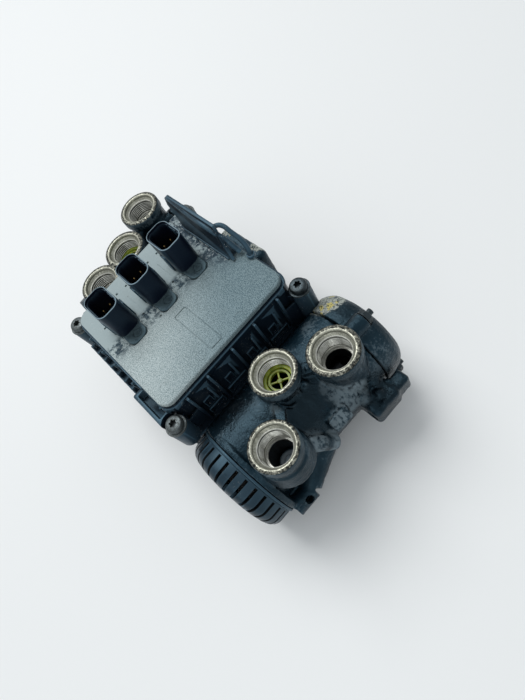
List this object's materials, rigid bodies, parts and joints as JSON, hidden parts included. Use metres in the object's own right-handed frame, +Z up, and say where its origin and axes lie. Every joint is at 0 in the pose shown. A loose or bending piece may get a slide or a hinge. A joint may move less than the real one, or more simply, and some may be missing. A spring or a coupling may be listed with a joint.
{
  "type": "multiport air brake modulator valve",
  "caption": "Electro-pneumatic brake modulator: cast body with upright threaded air ports, relay valves and slotted silencer, under an electronics housing with lid and sockets.",
  "frame": {"origin": "centre of the flat mounting face under the cast body", "axes": "+Z up through the lid and out of the ports; +Y along the relay barrels towards their end caps; +X from the three crowded ports across the lid towards the barrel with the silencer"},
  "size_m": [0.2636, 0.1412, 0.124],
  "materials": {
    "cast_black": "cast, under worn black paint",
    "black_plastic": "moulded glass-filled plastic, satin",
    "lid_plastic": "fine-grained moulded plastic, satin",
    "socket_plastic": "smooth black plastic",
    "steel": "turned",
    "dark_steel": "dark zinc plating, oily",
    "brass": "turned",
    "aluminium": "turned",
    "rubber": "matte",
    "strainer_plastic": "moulded nylon, yellow-green",
    "board": "coated circuit board",
    "copper_coil": "winding over-moulded in brown plastic",
    "wire_packing": "knitted wire"
  },
  "bodies": {
    "housing": {"valve_body": "cast_black", "silencer_flange": "cast_black", "silencer_drum": "black_plastic", "silencer_packing": "wire_packing", "silencer_screw": "dark_steel", "exhaust_plug": "cast_black", "electronics_housing": "black_plastic", "housing_seal": "rubber", "housing_lid": "lid_plastic", "cable_guard": "black_plastic", "circuit_board": "board", "strainer_a": "strainer_plastic", "strainer_e": "strainer_plastic", "relay_cap_right": "cast_black", "cap_bolt_right_1": "dark_steel", "cap_bolt_right_2": "dark_steel", "cap_bolt_right_3": "dark_steel", "valve_guide_right": "aluminium", "valve_spring_right": "steel", "relay_cap_left": "cast_black", "cap_bolt_left_1": "dark_steel", "cap_bolt_left_2": "dark_steel", "cap_bolt_left_3": "dark_steel", "valve_guide_left": "aluminium", "valve_spring_left": "steel", "lid_screw_1": "dark_steel", "core_tube_1": "steel", "solenoid_coil_1": "copper_coil", "armature_spring_1": "steel", "lid_screw_2": "dark_steel", "core_tube_2": "steel", "solenoid_coil_2": "copper_coil", "armature_spring_2": "steel", "lid_screw_3": "dark_steel", "core_tube_3": "steel", "solenoid_coil_3": "copper_coil", "armature_spring_3": "steel", "lid_screw_4": "dark_steel", "core_tube_4": "steel", "solenoid_coil_4": "copper_coil", "armature_spring_4": "steel", "socket_1": "socket_plastic", "contacts_1": "brass", "socket_2": "socket_plastic", "contacts_2": "brass", "socket_3": "socket_plastic", "contacts_3": "brass", "pressure_sensor_1": "steel", "pressure_sensor_2": "steel"},
    "check_disc": {"check_disc": "rubber"},
    "piston_right": {"relay_piston_right": "aluminium", "piston_ring_right": "rubber"},
    "sleeve_right": {"valve_sleeve_right": "brass"},
    "piston_left": {"relay_piston_left": "aluminium", "piston_ring_left": "rubber"},
    "sleeve_left": {"valve_sleeve_left": "brass"},
    "armature_1": {"armature_1": "steel"},
    "armature_2": {"armature_2": "steel"},
    "armature_3": {"armature_3": "steel"},
    "armature_4": {"armature_4": "steel"}
  },
  "joints": [
    {"name": "relay_piston_slide_right", "type": "slide", "parent": "housing", "child": "piston_right", "axis": [0, -1, 0], "range_m": [0, 0.0033], "stiffness_N_per_m": 400, "springref_m": -0.004},
    {"name": "valve_sleeve_slide_right", "type": "slide", "parent": "housing", "child": "sleeve_right", "axis": [0, -1, 0], "range_m": [0, 0.0022], "deforming": ["valve_spring_right"]},
    {"name": "relay_piston_slide_left", "type": "slide", "parent": "housing", "child": "piston_left", "axis": [0, -1, 0], "range_m": [0, 0.0033], "stiffness_N_per_m": 400, "springref_m": -0.004},
    {"name": "valve_sleeve_slide_left", "type": "slide", "parent": "housing", "child": "sleeve_left", "axis": [0, -1, 0], "range_m": [0, 0.0022], "deforming": ["valve_spring_left"]},
    {"name": "armature_slide_1", "type": "slide", "parent": "housing", "child": "armature_1", "axis": [0, 0, 1], "range_m": [0, 0.0015], "stiffness_N_per_m": 500, "springref_m": -0.003, "deforming": ["armature_spring_1"]},
    {"name": "armature_slide_2", "type": "slide", "parent": "housing", "child": "armature_2", "axis": [0, 0, 1], "range_m": [0, 0.0015], "stiffness_N_per_m": 500, "springref_m": -0.003, "deforming": ["armature_spring_2"]},
    {"name": "armature_slide_3", "type": "slide", "parent": "housing", "child": "armature_3", "axis": [0, 0, 1], "range_m": [0, 0.0015], "stiffness_N_per_m": 500, "springref_m": -0.003, "deforming": ["armature_spring_3"]},
    {"name": "armature_slide_4", "type": "slide", "parent": "housing", "child": "armature_4", "axis": [0, 0, 1], "range_m": [0, 0.0015], "stiffness_N_per_m": 500, "springref_m": -0.003, "deforming": ["armature_spring_4"]},
    {"name": "check_disc_slide", "type": "slide", "parent": "housing", "child": "check_disc", "axis": [0, 0, 1], "range_m": [0, 0.0035]}
  ],
  "couplings": [
    {"joint": "valve_sleeve_slide_right", "follows": "relay_piston_slide_right", "ratio": 0.64},
    {"joint": "valve_sleeve_slide_left", "follows": "relay_piston_slide_left", "ratio": 0.64}
  ]
}
